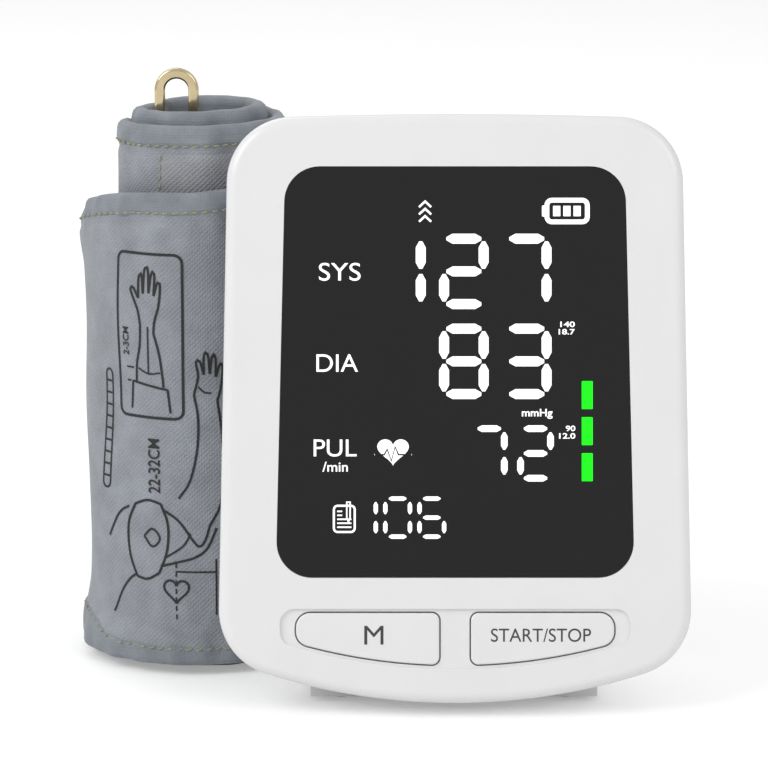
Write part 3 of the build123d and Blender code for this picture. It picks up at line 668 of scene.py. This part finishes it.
def woven_cloth(name, colour, thread, ribs, relief):
    """Cloth in plain weave with slanting ribs, mottled where its nap lies unevenly; raised threads get
    painted highlight.
    """
    material = new_material(name)
    weave = add_node(material, "ShaderNodeAttribute", attribute_name="weave").outputs["Vector"]
    place = object_place(material)
    turned = add_node(material, "ShaderNodeMapping", {"Vector": weave, "Scale": (-1, 1, 1)}).outputs[0]
    scale = 2 * math.pi / wave_turn / thread
    waves = []
    for direction, way, unevenness in (("X", weave, 0.6), ("Y", weave, 0.6), ("DIAGONAL", turned, 1.2)):
        inputs = {"Vector": way, "Scale": scale, "Distortion": unevenness}
        wave = add_node(material, "ShaderNodeTexWave", inputs, bands_direction=direction)
        waves.append(wave.outputs[1])
    warp, weft, slant = waves
    cross = add_node(material, "ShaderNodeMath", {0: warp, 1: weft}, operation="MULTIPLY").outputs[0]
    threads = add_node(
        material, "ShaderNodeMath", {0: slant, 1: ribs, 2: cross}, operation="MULTIPLY_ADD"
    ).outputs[0]
    fuzz = noise(material, place, 0.5 * MM, 3.0, 0.7)
    mottle = noise(material, place, 9 * MM, 4.0, 0.6)
    pale = shade(colour, 1.16)
    toned = mix_colours(material, spread(material, mottle, 0, 1), shade(colour, 0.72), pale)
    # Painted highlight: the raised threads and ribs are painted paler, up to about a third of the way
    # to the pale tone.
    painted_thread_highlight = add_node(
        material, "ShaderNodeMapRange", {"Value": threads, "To Min": 0.0, "To Max": 0.35}
    ).outputs[0]
    fibre = mix_colours(material, spread(material, fuzz, 0.0, 0.25), toned, shade(colour, 0.6))
    tint = mix_colours(material, painted_thread_highlight, fibre, pale)
    relief_height = add_node(
        material, "ShaderNodeMath", {0: fuzz, 1: 0.8, 2: threads}, operation="MULTIPLY_ADD"
    ).outputs[0]
    return close_material(material, {
        "Base Color": tint,
        "Roughness": spread(material, fuzz, 0.62, 0.82),
        "Normal": bump(material, relief_height, relief, 0.12 * MM),
        "Sheen Weight": 0.25,
        "Sheen Roughness": 0.5,
    })


cuff_colour = (0.315, 0.335, 0.37)
cuff_cloth = woven_cloth("cuff_cloth", cuff_colour, 0.6 * MM, 0.9, 0.7)
tape_cloth = woven_cloth("tape_cloth", (0.25, 0.275, 0.31), 0.7 * MM, 0.15, 0.5)
pile_cloth = woven_cloth("pile_cloth", (0.325, 0.335, 0.36), 0.6 * MM, 1.4, 0.55)
hook_cloth = woven_cloth("hook_cloth", (0.5, 0.49, 0.3), 0.8 * MM, 0.8, 0.8)


wave_count = 14


def ripples(seed, depth, spread_along, spread_up):
    """Sum of waves of random length and direction, a few tenths of a millimetre deep."""
    pick = np.random.default_rng(seed)
    along = pick.uniform(0.3, 1.0, wave_count) / spread_along * 2 * math.pi
    up = pick.uniform(-1.0, 1.0, wave_count) / spread_up * 2 * math.pi
    start = pick.uniform(0, 2 * math.pi, wave_count)
    size = pick.uniform(0.4, 1.0, wave_count) * depth / math.sqrt(wave_count)

    def height(length, rise):
        waves = size * np.sin(
            along * np.asarray(length)[..., None] + up * np.asarray(rise)[..., None] + start
        )
        return waves.sum(axis=-1)

    return height


# Outer flap: the printed end of the cuff, which tapers towards its free end. Its top edge
# slopes down to the left and leans in, and its lower edge is level. Waves, hems and the pressed
# seam are placed by their distance from the cloth's edge.
flap_path = roll_line(flap_arcs)
flap_lengths = flap_path[2]
front_angle = 270
flap_front = np.interp(front_angle, flap_path[3], flap_lengths)
flap_front_height = 121.7
flap_left_drop = 0.00315
flap_drop_limit = 9.0
flap_right_rise = 0.09
flap_rise_length = 12
from_front = flap_lengths - flap_front
flap_top = flap_front_height - flap_left_drop * np.minimum(from_front, 0) ** 2
flap_top = np.maximum(flap_top, flap_front_height - flap_drop_limit)
flap_top = flap_top + flap_right_rise * np.clip(from_front, 0, flap_rise_length)
flap_foot = flap_low.z / MM
half_flap = flap_thickness / 2
flap_wave = ripples(3, 0.65, 30, 46)
hem_wave = ripples(5, 0.42, 7, 16)
left_fade = (30, 8)
hem_band = 7.5
waves_below_top = (17, 7)
waves_over_foot = (6, 18)
foot_band = (4, 12)
hem_in = 0.4
hem_in_left = 1.7
foot_out = 0.25
foot_out_left = 0.45
tuck_left = 0.8
seam_width = 0.9
flap_seam = 6.6
flap_seam_depth = 0.45


def pressed_seam(distance, depth):
    """Groove where a row of stitches draws the cloth in."""
    return -depth * np.exp(-(distance / seam_width) ** 2)


def flap_lean(length, rise):
    """Waves of the flap, its top hem drawn in at the left and its lower hem standing out."""
    top = np.interp(length, flap_lengths, flap_top)
    left = 1 - smooth_step(length, flap_front - left_fade[0], flap_front - left_fade[1])
    drawn_in = -(hem_in + hem_in_left * left) * smooth_step(rise, top - hem_band, top)
    over_foot = smooth_step(rise, flap_foot + foot_band[0], flap_foot + foot_band[1])
    flare = (foot_out + foot_out_left * left) * (1 - over_foot)
    near_top = smooth_step(rise, top - waves_below_top[0], top - waves_below_top[1])
    calm = smooth_step(rise, flap_foot + waves_over_foot[0], flap_foot + waves_over_foot[1])
    near_hem = near_top + 1 - calm
    tucked = -tuck_left * left * (1 - near_hem)
    seam = pressed_seam(rise - top + flap_seam, flap_seam_depth)
    waves = flap_wave(length, rise) + near_hem * hem_wave(length, rise)
    return waves + drawn_in + flare + seam + tucked


flap_rows = 130
flap = rolled_cloth(
    "printed_flap", flap_path, flap_foot, flap_top, half_flap, half_flap, cuff_cloth, flap_lean,
    flap_rows
)
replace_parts(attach(flap, "cuff"), "cuff_flap")


# Sleeve: the padded pocket with the bladder, rolled inside the flap. It is wider than the flap,
# so its edges rise above it one turn after another. At the back its top stays below the nozzle.
sleeve_path = roll_line(sleeve_arcs)
sleeve_lengths = sleeve_path[2]
turn_ends = np.cumsum([math.pi * turn[1] * abs(turn[3] - turn[2]) / 180 for turn in sleeve_arcs])
half_sleeve = sleeve_thickness / 2
join_top = float(flap_top[-1])
under_nozzle = 118.6
sleeve_foot_height = 0.25
joining_knots = [share * turn_ends[0] for share in (0.3, 0.66, 0.97)]
sleeve_knots = [0, *joining_knots, *turn_ends[1:]]
sleeve_tops = [join_top, under_nozzle, under_nozzle, 136.4, 137.8, 139.4, 140.8, 140.8]
sleeve_top = np.interp(sleeve_lengths, sleeve_knots, sleeve_tops)
sleeve_foot = np.interp(sleeve_lengths, [0, turn_ends[0]], [flap_foot, sleeve_foot_height])
padding_fade = (10, 50)
padded_share = smooth_step(sleeve_lengths, *padding_fade)
sleeve_half = half_flap + (half_sleeve - half_flap) * padded_share
sleeve_wave = ripples(8, 0.5, 24, 50)
sleeve_hem_wave = ripples(9, 0.4, 8, 20)
sleeve_waves_start = 15
sleeve_hem_band = 7
sleeve_hem_in = 0.5
sleeve_seam = 6.4
sleeve_seam_depth = 0.4
smooth_start = 12
sleeve_rows = 110


def sleeve_lean(length, rise):
    """Waves of the sleeve, with its hem drawn in a little at the top."""
    top = np.interp(length, sleeve_lengths, sleeve_top)
    near_hem = smooth_step(rise, top - sleeve_waves_start, top - sleeve_hem_band)
    seam = pressed_seam(rise - top + sleeve_seam, sleeve_seam_depth)
    waves = sleeve_wave(length, rise) + near_hem * sleeve_hem_wave(length, rise) + seam
    drawn_in = sleeve_hem_in * smooth_step(rise, top - sleeve_hem_band, top)
    return waves * smooth_step(length, 0, smooth_start) - drawn_in


sleeve = rolled_cloth(
    "sleeve", sleeve_path, sleeve_foot, sleeve_top, sleeve_half, sleeve_half, cuff_cloth,
    sleeve_lean, sleeve_rows
)
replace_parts(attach(sleeve, "cuff"), "cuff_sleeve")


# Edge tapes: woven tape folded over each raw edge of the cloth and sewn through. It puckers
# between the stitches.
tape_width = 5.6
tape_thickness = 0.45
tape_rows = 10
tape_ends = 1.6
tape_over_top = 0.3
tape_under_foot = 0.1
pucker_share = 0.6
pucker = ripples(21, 0.5, 6, 24)


def edge_tape(name, path, edge, width, half, lean, at_top, replaced):
    """Tape over one edge of a rolled sheet: the sheet's own line, a little thicker."""
    if at_top:
        low, high = edge - width, edge + tape_over_top
    else:
        low, high = edge - tape_under_foot, edge + width

    def tape_lean(length, rise):
        return lean(length, rise) + pucker_share * pucker(length, rise)

    thick = half + tape_thickness
    piece = rolled_cloth(
        name, path, low, high, thick, thick, tape_cloth, tape_lean, tape_rows, tape_ends
    )
    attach(piece, "cuff")
    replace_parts(piece, *replaced)


wider_at_left = 5.0
left_angles = (188, 232)
left_hand = 1 - smooth_step(flap_path[3], *left_angles)
flap_foot_width = tape_width + wider_at_left * left_hand
for name, edge, width, at_top, replaced in [
    ("flap_top_tape", flap_top, tape_width, True, ["flap_tape_high"]),
    ("flap_foot_tape", flap_foot, flap_foot_width, False, ["flap_tape_low"]),
]:
    edge_tape(name, flap_path, edge, width, half_flap, flap_lean, at_top, replaced)
for name, edge, at_top, replaced in [
    ("sleeve_top_tape", sleeve_top, True, ["sleeve_tape_high"]),
    ("sleeve_foot_tape", sleeve_foot, False, ["sleeve_tape_low"]),
]:
    edge_tape(name, sleeve_path, edge, tape_width, sleeve_half, sleeve_lean, at_top, replaced)


# Loop pile on the middle turn and hook tape inside the flap, which hold the cuff closed on an
# arm. The pile begins at an upright seam. A pale hook piece lies inside the core.
def part_of(path, first, last):
    """The part of a roll line between two lengths along it."""
    keep = (path[2] >= first) & (path[2] <= last)
    return tuple(array[keep] for array in path)


seam_angle = 243.0
seam_length = turn_ends[0] + math.radians(seam_angle - 180) * sleeve_arcs[1][1]
patch_ends = 0.4
pile_rows = 60
pile_rises = (8.0, 130.5)
pile_sunk = 0.1
pile_proud = 0.35
pile_path = part_of(sleeve_path, seam_length, turn_ends[1] - 2)
pile = rolled_cloth(
    "loop_pile", pile_path, *pile_rises, pile_sunk - half_sleeve, half_sleeve + pile_proud,
    pile_cloth, sleeve_lean, pile_rows, patch_ends
)
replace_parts(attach(pile, "cuff"), "loop_patch")

hook_rows = 40
hook_rises = (18.6, 98.0)
hook_sunk = 0.2
hook_proud = 0.6
hook_margin = 4
hook_path = part_of(flap_path, hook_margin, flap_front - hook_margin)
hook = rolled_cloth(
    "hook_tape", hook_path, *hook_rises, half_flap + hook_proud, hook_sunk - half_flap, hook_cloth,
    flap_lean, hook_rows, patch_ends
)
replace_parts(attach(hook, "cuff"), "hook_patch")

core_hook_rises = (30.0, 137.5)
core_hook_proud = 0.8
core_path = part_of(sleeve_path, turn_ends[3] + 6, turn_ends[3] + 22)
core_hook = rolled_cloth(
    "core_hook_tape", core_path, *core_hook_rises, half_sleeve + core_hook_proud,
    hook_sunk - half_sleeve, hook_cloth, sleeve_lean, hook_rows, patch_ends
)
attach(core_hook, "cuff")


# Printing on the flap: black ink that lies on the cloth and follows its waves. Places are
# millimetres to the right of the flap's front line and up from the table.
print_lift = 0.1
print_step = 0.7
words_lift = 0.04
pen = 0.58
fine_pen = 0.42
light_pen = 0.5
bold_pen = 0.62
ink = moulded_plastic("printing_ink", (0.02, 0.02, 0.022), 0.6, 0.3, 0.4 * MM)


def read_at(lengths, known, columns):
    """Two columns that belong to known lengths, read at other lengths."""
    return np.column_stack([np.interp(lengths, known, columns[:, axis]) for axis in (0, 1)])


def on_flap(across, up, out):
    """Millimetres from the flap's front line to places on its outer face."""
    places, outward, lengths, _ = flap_path
    length = flap_front + across
    offset = half_flap + print_lift + out + flap_lean(length, up)
    flat = read_at(length, lengths, places) + read_at(length, lengths, outward) * offset[:, None]
    return np.column_stack((flat, up)) * MM


def resampled(points):
    """Straight runs cut into steps, so that they can follow a curved surface."""
    spots = np.asarray(points, float)
    runs = np.concatenate(([0], np.cumsum(np.linalg.norm(np.diff(spots, axis=0), axis=1))))
    marks_along = np.linspace(0, runs[-1], max(2, round(runs[-1] / print_step) + 1))
    return read_at(marks_along, runs, spots)


def curved(points):
    """Smooth line through points: each span is a cubic set by its two neighbours."""
    spots = np.asarray(points, float)
    spots = np.vstack((2 * spots[0] - spots[1], spots, 2 * spots[-1] - spots[-2]))
    share = np.linspace(0, 1, 8, endpoint=False)[:, None]
    spans = []
    for first in range(len(spots) - 3):
        a, b, c, d = spots[first:first + 4]
        bend = (2 * a - 5 * b + 4 * c - d) * share ** 2 + (3 * b - a - 3 * c + d) * share ** 3
        spans.append(b + ((c - a) * share + bend) / 2)
    return resampled(np.vstack((*spans, spots[-2:-1])))


def drawn(points, width=pen):
    """Pen line through points, smooth."""
    return line(curved(points), width)


def ruled(points, width=pen):
    """Pen line through points, straight from each to the next."""
    return line(resampled(points), width)


def outlined(points, width):
    """Pen line round an outline, which ends where it began."""
    return ruled(np.vstack((points, points[:1])), width)


def print_on_flap(name, parts):
    """One piece of ink from several pen lines."""
    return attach(marks(name, parts, on_flap, ink), "cuff")


def up_the_flap(middle):
    """Place function for words that read upwards, centred here on the flap."""
    def place(across, up, out):
        return on_flap(middle[0] - up, middle[1] + across, out + words_lift)
    return place


print_on_flap("print_frame", [outlined(rounded_box(17.6, 41.0, 2.0, (-10.7, 86.2)), 0.66)])

# In the frame: an open palm and forearm, with the cuff's edge above the bend of the elbow.
print_on_flap("print_palm", [
    drawn([(-12.4, 89.0), (-13.0, 92.4), (-14.0, 94.8), (-15.2, 97.6), (-14.4, 98.2), (-12.9, 95.6)]),
    drawn([(-12.9, 95.6), (-12.8, 100.6), (-12.0, 101.4), (-11.6, 96.8)]),
    drawn([(-11.6, 96.8), (-11.2, 102.6), (-10.3, 102.9), (-10.1, 97.0)]),
    drawn([(-10.1, 97.0), (-9.4, 101.8), (-8.6, 101.6), (-8.8, 96.4)]),
    drawn([(-8.8, 96.4), (-7.9, 99.6), (-7.2, 99.0), (-7.6, 94.0), (-8.6, 90.2), (-8.9, 87.0)]),
    drawn([(-12.4, 89.0), (-12.6, 84.0), (-13.6, 79.0), (-13.9, 74.4)]),
    drawn([(-8.9, 87.0), (-7.6, 82.0), (-6.9, 77.0), (-6.6, 73.6)]),
])
print_on_flap("print_band", [
    ruled([(-15.0, 74.6), (-5.6, 73.0)], 0.55),
    ruled([(-15.0, 74.6), (-15.6, 67.6)]),
    ruled([(-5.6, 73.0), (-5.0, 67.2)]),
    drawn([(-13.2, 78.0), (-10.4, 76.8), (-7.4, 77.2)], fine_pen),
    ruled([(-10.4, 88.6), (-10.4, 76.8)], fine_pen),
    ruled([(-16.8, 78.0), (-14.6, 78.0)], fine_pen),
    ruled([(-16.8, 74.6), (-15.6, 74.6)], fine_pen),
])

# Range scale at the left, where the flap's index line has to fall.
scale_parts = [outlined(rounded_box(2.8, 30.0, 1.3, (-24.2, 61.3)), light_pen)]
for tick in range(9):
    height = 49.3 + 3.0 * tick
    scale_parts.append(ruled([(-25.2, height), (-23.2, height)], light_pen))
print_on_flap("print_scale", scale_parts)

# Below: a raised hand, the bent arm with the cuff on it, and the heart at the same level.
print_on_flap("print_raised_hand", [
    drawn([(0.6, 72.0), (1.6, 76.6), (1.1, 80.0), (2.0, 80.4), (2.9, 77.0)]),
    drawn([(2.9, 77.0), (3.0, 81.8), (3.9, 82.0), (4.3, 77.2)]),
    drawn([(4.3, 77.2), (4.9, 81.4), (5.7, 81.2), (5.7, 76.4)]),
    drawn([(5.7, 76.4), (6.7, 79.4), (7.4, 78.8), (6.9, 74.0), (6.0, 70.4)]),
    drawn([(0.6, 72.0), (1.5, 66.0), (1.2, 58.0), (-0.6, 50.0), (-3.4, 45.4)]),
    drawn([(6.0, 70.4), (7.0, 62.0), (7.3, 52.0), (6.6, 44.0), (4.0, 38.6)]),
    drawn([(1.6, 74.0), (3.0, 72.6), (4.6, 72.4)], fine_pen),
])
print_on_flap("print_shoulder", [
    drawn([(-23.4, 34.0), (-19.6, 40.4), (-16.6, 42.6)]),
    drawn([(-22.4, 14.4), (-19.8, 20.0), (-17.0, 23.6), (-15.0, 25.2)]),
    drawn([(-7.4, 42.4), (-3.4, 39.6), (0.2, 34.6), (1.6, 33.4), (3.0, 35.2), (4.0, 38.6)]),
    drawn([(-8.0, 28.0), (-4.0, 29.2), (0.4, 30.6), (3.4, 33.0), (5.6, 38.0)]),
])
print_on_flap("print_arm_band", [
    drawn([(-14.8, 43.4), (-16.8, 38.0), (-16.6, 30.4), (-14.6, 24.8)], bold_pen),
    drawn([(-8.0, 43.8), (-6.2, 38.6), (-6.4, 32.0), (-8.4, 26.2)], bold_pen),
    drawn([(-14.8, 43.4), (-11.4, 44.6), (-8.0, 43.8)], bold_pen),
    drawn([(-14.6, 24.8), (-11.6, 24.4), (-8.4, 26.2)], bold_pen),
    drawn([(-12.4, 35.4), (-10.2, 37.4), (-8.2, 35.0), (-10.2, 32.8), (-12.4, 35.4)], light_pen),
    drawn([(-6.6, 30.4), (-2.4, 33.4), (-0.6, 36.6)], light_pen),
])
dash_rises = np.arange(14.6, 28.0, 2.2)
print_on_flap("print_heart_level", [
    outlined(heart_outline(6.2, 6.0, (-4.1, 21.6), 32), 0.56),
    ruled([(-4.1, 26.9), (5.4, 26.9)], fine_pen),
    ruled([(5.4, 30.2), (5.4, 15.8)], fine_pen),
    *[ruled([(-4.1, rise), (-4.1, rise + 1.3)], 0.4) for rise in dash_rises],
])
for name, words, width, height, middle in [
    ("print_arm_range", "22-32CM", 13.8, 3.1, (-9.6, 53.4)),
    ("print_distance", "2-3CM", 7.0, 1.9, (-16.9, 84.5)),
]:
    words_piece = lettering(name, words, width, height, (0, 0), up_the_flap(middle), ink, 0.008)
    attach(words_piece, "cuff")


# Stitches: straw-coloured thread in short slanting stitches through the tapes and along the
# upright seam.
stitch_length = 1.7
stitch_width = 0.55
stitch_pitch = 2.3
stitch_tilt = 0.16
stitch_sink = 0.02
blunt_tip = 0.02
flap_top_row = 4.5
flap_foot_row = 1.2
sleeve_top_row = 4.6
seam_row_offset = 0.6
seam_row_lift = 0.38


def stitch_row(name, path, starts, rises, lean, half, upright=False):
    """Stitches as small pods on the cloth's outer face, at these lengths and heights."""
    places, outward, lengths, _ = path
    out = read_at(starts, lengths, outward)
    out /= np.linalg.norm(out, axis=1, keepdims=True)
    offset = np.interp(starts, lengths, half + 0 * lengths) + lean(starts, rises)
    centre = read_at(starts, lengths, places) + out * offset[:, None]
    along = np.column_stack((-out[:, 1], out[:, 0]))
    around = 6
    levels = 5
    corners = around * levels
    turn = np.linspace(0, 2 * math.pi, around, endpoint=False)
    reach = np.linspace(-1, 1, levels)
    girth = np.sqrt(np.clip(1 - reach ** 2, blunt_tip, 1))
    pod_long = np.repeat(reach[:, None], around, axis=1).ravel() * stitch_length / 2
    pod_wide = (girth[:, None] * np.cos(turn)).ravel() * stitch_width / 2
    pod_tall = (girth[:, None] * np.sin(turn)).ravel() * stitch_width / 2
    run, rise = (pod_wide, pod_long) if upright else (pod_long, pod_wide + stitch_tilt * pod_long)
    flat = centre[:, None] + along[:, None] * run[:, None] + out[:, None] * pod_tall[:, None]
    spots = np.concatenate((flat, (rises[:, None] + rise)[..., None]), axis=-1)
    caps = [list(range(around)), list(range(corners - around, corners))]
    count = len(starts)
    shift = np.arange(count)[:, None, None] * corners
    faces = (tube_faces(levels, around) + shift).reshape(-1, 4).tolist()
    for stitch in range(count):
        faces += [[corner + corners * stitch for corner in cap] for cap in caps]
    piece = new_piece(name, spots.reshape(-1, 3) * MM, faces, thread, smooth=True)
    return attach(piece, "cuff")


# Twisted thread: slanting bands with painted shade between the twists and a painted highlight on each
# crown.
thread_colour = (0.42, 0.41, 0.24)
thread = new_material("stitch_thread")
twists = {"Vector": object_place(thread), "Scale": 600.0, "Distortion": 1.0}
twist_wave = add_node(thread, "ShaderNodeTexWave", twists, bands_direction="DIAGONAL")
twist = twist_wave.outputs[1]
close_material(thread, {
    # The twist's grooves are painted darker and its crowns paler: painted shade and painted highlight.
    "Base Color": mix_colours(thread, twist, shade(thread_colour, 0.7), rgba(thread_colour)),
    "Roughness": 0.6,
    "Normal": bump(thread, twist, 0.4, 0.05 * MM),
})


def rows_along(path):
    """Lengths at which the stitches of a row along the roll sit."""
    return np.arange(3.0, path[2][-1] - 2.0, stitch_pitch)


spots_flap = rows_along(flap_path)
taped = half_flap + tape_thickness - stitch_sink
stitch_row("flap_top_stitches", flap_path, spots_flap,
           np.interp(spots_flap, flap_lengths, flap_top) - flap_top_row, flap_lean, taped)
tape_edge = flap_foot + np.interp(spots_flap, flap_lengths, flap_foot_width)
stitch_row("flap_foot_stitches", flap_path, spots_flap, tape_edge - flap_foot_row, flap_lean, taped)
spots_sleeve = rows_along(sleeve_path)
stitch_row("sleeve_top_stitches", sleeve_path, spots_sleeve,
           np.interp(spots_sleeve, sleeve_lengths, sleeve_top) - sleeve_top_row, sleeve_lean,
           sleeve_half + tape_thickness - stitch_sink)
seam_rises = np.arange(12.0, 130.0, stitch_pitch)
seam_spots = np.full(len(seam_rises), seam_length + seam_row_offset)
stitch_row("upright_seam", sleeve_path, seam_spots, seam_rises, sleeve_lean,
           half_sleeve + seam_row_lift, upright=True)


# Long ring of polished brass-coloured wire at the inner end of the cuff. One bar stands just past
# the cloth's end, and the ring's top stands out above the roll.
ring_metal = rolled_metal("ring_metal", (0.83, 0.69, 0.42), 0.12, 0.8 * MM)
paint(ring_metal, "cuff_ring")


# Table: a plain pale sheet that fills the view and takes the soft shadows.
floor_half = 6.0
floor_colour = (0.9, 0.9, 0.9)
floor_lift = 0.3
floor_paper = new_material("floor_paper")
mottled = noise(floor_paper, object_place(floor_paper), 0.5)
floor_tint = mix_colours(floor_paper, mottled, rgba(floor_colour), shade(floor_colour, 1.01))
seen = add_node(floor_paper, "ShaderNodeLightPath").outputs["Is Camera Ray"]
paper = add_node(floor_paper, "ShaderNodeBsdfDiffuse", {"Color": floor_tint})
lift = add_node(floor_paper, "ShaderNodeMath", {0: seen, 1: floor_lift}, operation="MULTIPLY")
white = rgba((1, 1, 1))
glow = add_node(floor_paper, "ShaderNodeEmission", {"Color": white, "Strength": lift.outputs[0]})
both = add_node(floor_paper, "ShaderNodeAddShader", {0: paper.outputs[0], 1: glow.outputs[0]})
add_node(floor_paper, "ShaderNodeOutputMaterial", {"Surface": both.outputs[0]})
corner_signs = ((-1, -1), (1, -1), (1, 1), (-1, 1))
floor_corners = [(x * floor_half, y * floor_half, 0) for x, y in corner_signs]
floor = new_piece("floor", floor_corners, [[0, 1, 2, 3]], floor_paper)


# Lamps: one broad soft lamp from the left, a weaker one from the right, and one from behind
# that draws the shadow forward. The room gives the rest as even white light.
room_level = 0.6
lamps = [
    ("left_lamp", (-1.3, -0.9, 1.3), 1.1, 13.0),
    ("right_lamp", (1.2, -1.3, 1.1), 1.0, 5.0),
    ("back_lamp", (-0.5, 1.1, 1.5), 1.0, 4.0),
]
lamp_aim = Vector((0, 0, 70)) * MM
for name, place, side, power in lamps:
    data = bpy.data.lights.new(name, "AREA")
    data.shape = "SQUARE"
    data.size = side
    data.energy = power
    lamp = bpy.data.objects.new(name, data)
    lamp.location = place
    lamp.rotation_euler = (lamp_aim - lamp.location).to_track_quat("-Z", "Y").to_euler()
    scene.collection.objects.link(lamp)

world = bpy.data.worlds.new("room")
world.use_nodes = True
world.node_tree.nodes.clear()
ray = add_node(world, "ShaderNodeLightPath").outputs["Is Camera Ray"]
level = add_node(world, "ShaderNodeMapRange", {"Value": ray, "To Min": room_level, "To Max": 1.0})
background = add_node(world, "ShaderNodeBackground", {"Color": white, "Strength": level.outputs[0]})
add_node(world, "ShaderNodeOutputWorld", {"Surface": background.outputs[0]})
scene.world = world
scene.view_settings.view_transform = "Standard"
